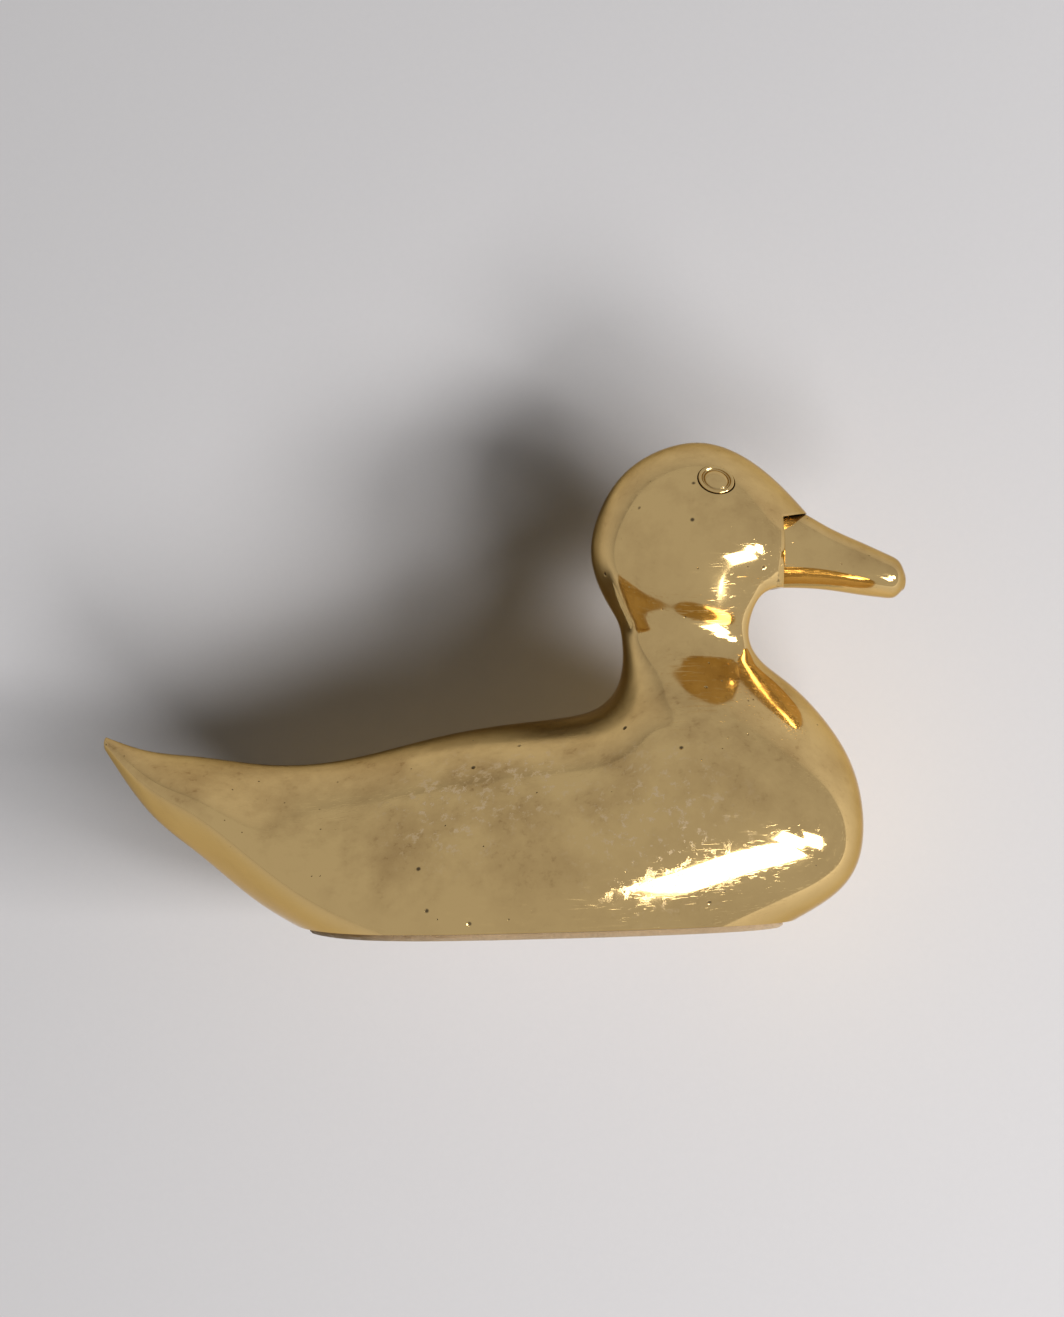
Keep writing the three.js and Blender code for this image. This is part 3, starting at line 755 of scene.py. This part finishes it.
def brass_material(look):
    """Polished brass with a thin brown layer that is laid heavier on upward faces as painted shade, pits,
    painted shade in recesses, scuffs and hairlines.
    """
    finish = Finish("worn_brass")
    cloud = finish.grain(0.11, 6.0, 0.62)
    # The brown layer is weighted towards upward faces, so tops come out darker: painted shade over its random
    # patches.
    facing = finish.node("NewGeometry", {}).outputs["Normal"]
    facing = finish.node("SeparateXYZ", {"Vector": facing}).outputs["Z"]
    film_and_top_shade = finish.maths("MULTIPLY", finish.ramp(cloud, 0.42, 0.7), finish.ramp(facing, -0.3, 0.8, 0.25, 0.75))
    mottle = finish.ramp(finish.grain(0.9, 7.0, 0.7), 0.55, 0.68)
    film_and_top_shade = finish.maths("ADD", film_and_top_shade, finish.maths("MULTIPLY", mottle, finish.maths("MULTIPLY", film_and_top_shade, 0.9)))
    flakes = finish.ramp(finish.grain(0.75, 8.0, 0.72), 0.55, 0.61)
    scuffed = finish.near(*SCUFFS[0])
    for spot, reach in SCUFFS[1:]:
        scuffed = finish.maths("MAXIMUM", scuffed, finish.near(spot, reach))
    flakes = finish.maths("MULTIPLY", flakes, scuffed)
    pits = finish.maths("MAXIMUM", finish.specks(0.17, 0.34), finish.specks(0.4, 0.12))
    lines = finish.hairlines(*HAIRLINE_SETS[0], HAIRLINE_WIDTH)
    for turn, stretch in HAIRLINE_SETS[1:]:
        lines = finish.maths("MAXIMUM", lines, finish.hairlines(turn, stretch, HAIRLINE_WIDTH))
    # Ambient occlusion darkens recesses such as the eye's groove, under the brow and at the rims: painted
    # shade, mixed with the real grime in the pits.
    occlusion_shade = finish.node("AmbientOcclusion", {"Distance": 0.9 * MM}, samples=4).outputs["AO"]
    occlusion_shade = finish.ramp(occlusion_shade, 0.75, 0.35)
    colour = finish.blend(film_and_top_shade, (*look.brass, 1), (*look.tarnish_and_top_shade, 1))
    colour = finish.blend(flakes, colour, (*look.scuff, 1))
    in_pits = finish.maths("MULTIPLY", pits, 0.9)
    dirt_and_crevice_shade = finish.maths("MAXIMUM", in_pits, finish.maths("MULTIPLY", occlusion_shade, 0.8))
    colour = finish.blend(dirt_and_crevice_shade, colour, (*look.dirt_and_crevice_shade, 1))
    smear = finish.ramp(finish.grain(0.3, 5.0, 0.6), 0.4, 0.7, look.polish, look.polish + 0.06)
    rough = finish.maths("ADD", smear, finish.maths("MULTIPLY", flakes, 0.22))
    rough = finish.maths("ADD", rough, finish.maths("MULTIPLY", lines, 0.13))
    rough = finish.maths("ADD", rough, finish.maths("MULTIPLY", dirt_and_crevice_shade, 0.35))
    worn = finish.maths("ADD", pits, finish.maths("MULTIPLY", lines, 0.05))
    worn = finish.maths("ADD", worn, finish.maths("MULTIPLY", flakes, 0.08))
    height = finish.maths("SUBTRACT", finish.maths("MULTIPLY", finish.grain(0.16, 1.0), 0.5), worn)
    finish.set(Metallic=1.0, Base_Color=colour, Roughness=rough, Specular_Tint=(*look.edge, 1))
    finish.bump(height, BRASS_RELIEF)
    return finish.material


def steel_material():
    finish = Finish("fixing_steel")
    grain = finish.grain(3.0, 6.0)
    colour = finish.blend(grain, (0.45, 0.46, 0.47, 1), (0.62, 0.62, 0.63, 1))
    finish.set(Metallic=1.0, Base_Color=colour, Roughness=finish.ramp(grain, 0.3, 0.7, 0.28, 0.45))
    finish.bump(grain, 0.02 * MM)
    return finish.material


def plate_material():
    finish = Finish("plate_brass")
    grain = finish.grain(1.2, 8.0, 0.7)
    colour = finish.blend(grain, (0.6, 0.45, 0.2, 1), (0.76, 0.58, 0.28, 1))
    finish.set(Metallic=1.0, Base_Color=colour, Roughness=finish.ramp(grain, 0.3, 0.7, 0.35, 0.55))
    finish.bump(grain, 0.03 * MM)
    return finish.material


def felt_material(look):
    finish = Finish("pad_felt")
    nap = finish.grain(2.2, 10.0, 0.75)
    red, green, blue = look.felt
    deep = (0.7 * red, 0.7 * green, 0.68 * blue, 1)
    pale = (min(1, 1.25 * red), min(1, 1.25 * green), min(1, 1.3 * blue), 1)
    blotch = finish.ramp(finish.grain(0.12, 3.0), 0.45, 0.75, 0, 0.4)
    colour = finish.blend(blotch, finish.blend(nap, deep, pale), deep)
    finish.set(Base_Color=colour, Roughness=0.95, Sheen_Weight=0.3)
    finish.bump(nap, 0.25 * MM)
    return finish.material


class DUCK_OT_castings(bpy.types.Operator):
    """Right and left half castings, with the seats of the eyes"""

    bl_idname = "duck.castings"
    bl_label = "Half castings"

    def execute(self, context):
        sizes, look = context.scene.duck_sizes, context.scene.duck_look
        spline = figure_spline(sizes)
        brass = brass_material(look)
        vertices, faces = casting_mesh(spline, sizes)
        for name, node, mesh in (("right_casting", "right_shell", (vertices, faces)),
                                 ("left_casting", "left_shell", mirrored(vertices, faces))):
            piece = new_piece(name, *mesh, brass)
            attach(piece, "root")
            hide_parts(node)
        return {"FINISHED"}


class DUCK_OT_bill(bpy.types.Operator):
    """Bill casting with its tenon"""

    bl_idname = "duck.bill"
    bl_label = "Bill"

    def execute(self, context):
        mesh = bill_mesh(context.scene.duck_sizes)
        piece = new_piece("bill_casting", *mesh, bpy.data.materials["worn_brass"])
        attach(piece, "root")
        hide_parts("bill")
        return {"FINISHED"}


class DUCK_OT_eyes(bpy.types.Operator):
    """Eye studs with a ring, a groove and a dome"""

    bl_idname = "duck.eyes"
    bl_label = "Eyes"

    def execute(self, context):
        sizes = context.scene.duck_sizes
        vertices, faces = eye_mesh(figure_spline(sizes), sizes)
        for name, node, mesh in (("right_eye_stud", "right_eye", (vertices, faces)),
                                 ("left_eye_stud", "left_eye", mirrored(vertices, faces))):
            piece = new_piece(name, *mesh, bpy.data.materials["worn_brass"], sharp=1.2)
            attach(piece, "root")
            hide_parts(node)
        return {"FINISHED"}


class DUCK_OT_fixings(bpy.types.Operator):
    """Finishes of the base plate, the screws and the seam dowels"""

    bl_idname = "duck.fixings"
    bl_label = "Base plate and fixings"

    def execute(self, context):
        steel = steel_material()
        plate = plate_material()
        for name, finish in (("base_plate", plate), ("base_screw_right", steel), ("base_screw_left", steel),
                             ("tail_dowel", steel), ("breast_dowel", steel)):
            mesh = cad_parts[name].data
            mesh.materials.clear()
            mesh.materials.append(finish)
        return {"FINISHED"}


class DUCK_OT_felt_pad(bpy.types.Operator):
    """Felt glued under the base plate"""

    bl_idname = "duck.felt_pad"
    bl_label = "Felt pad"

    def execute(self, context):
        sizes, look = context.scene.duck_sizes, context.scene.duck_look
        vertices, faces, flat, area = felt_mesh(figure_spline(sizes), sizes)
        piece = new_piece("felt_pad", vertices, faces, felt_material(look))
        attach(piece, "root")
        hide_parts("base_pad")
        return {"FINISHED"}


class DUCK_OT_stage(bpy.types.Operator):
    """Camera, soft lamps, pale surround and the plain sheet behind the duck"""

    bl_idname = "duck.stage"
    bl_label = "Stage"

    def execute(self, context):
        look = context.scene.duck_look
        add_camera(look)
        add_sheet(look, context.scene.duck_sizes)
        add_lamps(look)
        add_surround(look)
        context.scene.view_settings.view_transform = "Standard"
        return {"FINISHED"}


CAMERA_X = 3.44 * MM
CAMERA_Z = 33.35 * MM
CAMERA_ROLL = math.radians(1.33)
PHOTO_SCALE = 8.044
PHOTO_HEIGHT = 1317
SHEET_Y = 22.9 * MM
SHEET_HALF = 0.35


def add_camera(look):
    camera = bpy.data.objects.new("camera", bpy.data.cameras.new("camera"))
    camera.data.sensor_fit = "VERTICAL"
    camera.data.sensor_height = 36
    camera.data.sensor_width = 36
    camera.data.lens = 36 * PHOTO_SCALE * look.camera_distance / MM / PHOTO_HEIGHT
    camera.data.clip_start = 0.01
    camera.location = (CAMERA_X, -look.camera_distance, CAMERA_Z)
    camera.rotation_euler = (math.pi / 2, CAMERA_ROLL, 0)
    bpy.context.scene.collection.objects.link(camera)
    bpy.context.scene.camera = camera


def sheet_patch(spline):
    """Outline inside the duck's own, where the sheet leaves the duck's back free."""
    rows = spline.at(np.linspace(2, 21, 60))
    back, keel = rows[:, 0:2], rows[:, 2:4]
    loop = np.concatenate([back + 0.12 * (keel - back), (keel + 0.12 * (back - keel))[::-1]])
    loop[:, 1] = np.maximum(loop[:, 1], 4 * MM)
    return [(x, SHEET_Y, z) for x, z in loop]


def paper_material(look, name, in_metal):
    """Pale paper that is seen only from its front, and in the metal where that is asked for."""
    finish = Finish(name)
    fibre = finish.grain(1.5, 6.0)
    red, green, blue = look.sheet
    colour = finish.blend(fibre, (0.97 * red, 0.97 * green, 0.97 * blue, 1), (red, green, blue, 1))
    finish.set(Base_Color=colour, Roughness=0.9, Specular_IOR_Level=0.0)
    clear = finish.node("BsdfTransparent", {}).outputs[0]
    hidden = finish.node("NewGeometry", {}).outputs["Backfacing"]
    if not in_metal:
        hidden = finish.maths("MAXIMUM", hidden, finish.node("LightPath", {}).outputs["Is Glossy Ray"])
    seen = finish.node("MixShader", {0: hidden, 1: finish.shader.outputs[0], 2: clear}).outputs[0]
    finish.plug(finish.nodes["Material Output"].inputs["Surface"], seen)
    return finish.material


def add_paper(name, loops, material):
    """Flat paper inside the first loop and outside the others, facing the camera."""
    work = bmesh.new()
    edges = []
    for loop in loops:
        points = [work.verts.new(point) for point in loop]
        for first, second in zip(points, points[1:] + points[:1]):
            edges.append(work.edges.new((first, second)))
    bmesh.ops.triangle_fill(work, use_beauty=True, edges=edges)
    for face in work.faces:
        face.normal_update()
        if face.normal.y > 0:
            face.normal_flip()
    mesh = bpy.data.meshes.new(name)
    work.to_mesh(mesh)
    work.free()
    mesh.materials.append(material)
    paper = bpy.data.objects.new(name, mesh)
    bpy.context.scene.collection.objects.link(paper)


def add_sheet(look, sizes):
    half = SHEET_HALF
    corners = [(-half, SHEET_Y, -half), (half, SHEET_Y, -half), (half, SHEET_Y, half), (-half, SHEET_Y, half)]
    patch = sheet_patch(figure_spline(sizes))
    add_paper("backdrop_sheet", (corners, patch), paper_material(look, "sheet_paper", True))
    add_paper("backdrop_patch", (patch,), paper_material(look, "patch_paper", False))


def bearing(azimuth, height):
    """Direction from the duck: azimuth 0 to its front and 90 up, height from the sheet towards the camera."""
    azimuth, height = math.radians(azimuth), math.radians(height)
    level = math.cos(height)
    out = Vector((math.cos(azimuth) * level, -math.sin(height), math.sin(azimuth) * level))
    sideways = Vector((-math.sin(azimuth), 0, math.cos(azimuth)))
    return out, sideways, out.cross(sideways)


# Each lamp has its azimuth, its height, its width and length in metres at one metre, and its share of power.
LAMPS = (
    ("high_window", -28, 50, 0.28, 0.28, 0.4),
    ("side_window", -14, 36, 0.32, 0.26, 0.85),
    ("low_window", -58, 44, 0.42, 0.34, 0.7),
)


def add_lamps(look):
    """Soft studio lamps, which show in the metal too."""
    target = Vector((0, 0, 30 * MM))
    for name, azimuth, height, width, length, share in LAMPS:
        lamp = bpy.data.lights.new(name, "AREA")
        lamp.shape = "RECTANGLE"
        lamp.size, lamp.size_y = width, length
        lamp.energy = look.lamp_power * share
        lamp.color = (1.0, 0.985, 0.97)
        pane = bpy.data.objects.new(name, lamp)
        out, sideways, upwards = bearing(azimuth, height)
        turn = Matrix((sideways, upwards, out)).transposed().to_4x4()
        turn.translation = target + out
        pane.matrix_world = turn
        pane.visible_camera = False
        bpy.context.scene.collection.objects.link(pane)


def add_surround(look):
    """Pale surround for the camera and for what metal mirrors, and dim light for the rest."""
    world = bpy.data.worlds.new("surround")
    bpy.context.scene.world = world
    world.use_nodes = True
    graph = Graph(world.node_tree)
    surround = graph.node("Background", {"Color": (*look.surround, 1)}).outputs[0]
    fill = graph.node("Background", {"Color": (*look.fill, 1)}).outputs[0]
    path = graph.node("LightPath", {}).outputs
    shown = graph.maths("MAXIMUM", path["Is Camera Ray"], path["Is Transmission Ray"])
    shown = graph.maths("MAXIMUM", shown, path["Is Glossy Ray"])
    whole = graph.node("MixShader", {0: shown, 1: fill, 2: surround}).outputs[0]
    graph.plug(graph.nodes["World Output"].inputs["Surface"], whole)


class DUCK_PT_panel(bpy.types.Panel):
    """Lists the duck's pieces and the stage"""

    bl_idname = "DUCK_PT_panel"
    bl_label = "Duck figurine"
    bl_space_type = "VIEW_3D"
    bl_region_type = "UI"
    bl_category = "Duck"

    def draw(self, context):
        for group in (context.scene.duck_sizes, context.scene.duck_look):
            column = self.layout.column(align=True)
            for name in group.__annotations__:
                column.prop(group, name)
        for step in STEPS:
            self.layout.operator(step.bl_idname)


STEPS = (DUCK_OT_castings, DUCK_OT_bill, DUCK_OT_eyes, DUCK_OT_fixings, DUCK_OT_felt_pad, DUCK_OT_stage)
CLASSES = (DuckSizes, DuckLook, *STEPS, DUCK_PT_panel)


def register():
    for item in CLASSES:
        bpy.utils.register_class(item)
    bpy.types.Scene.duck_sizes = PointerProperty(type=DuckSizes)
    bpy.types.Scene.duck_look = PointerProperty(type=DuckLook)


def unregister():
    del bpy.types.Scene.duck_look
    del bpy.types.Scene.duck_sizes
    for item in reversed(CLASSES):
        bpy.utils.unregister_class(item)


def main():
    register()
    bpy.ops.duck.castings()
    bpy.ops.duck.bill()
    bpy.ops.duck.eyes()
    bpy.ops.duck.fixings()
    bpy.ops.duck.felt_pad()
    bpy.ops.duck.stage()


if __name__ == "__main__":
    main()
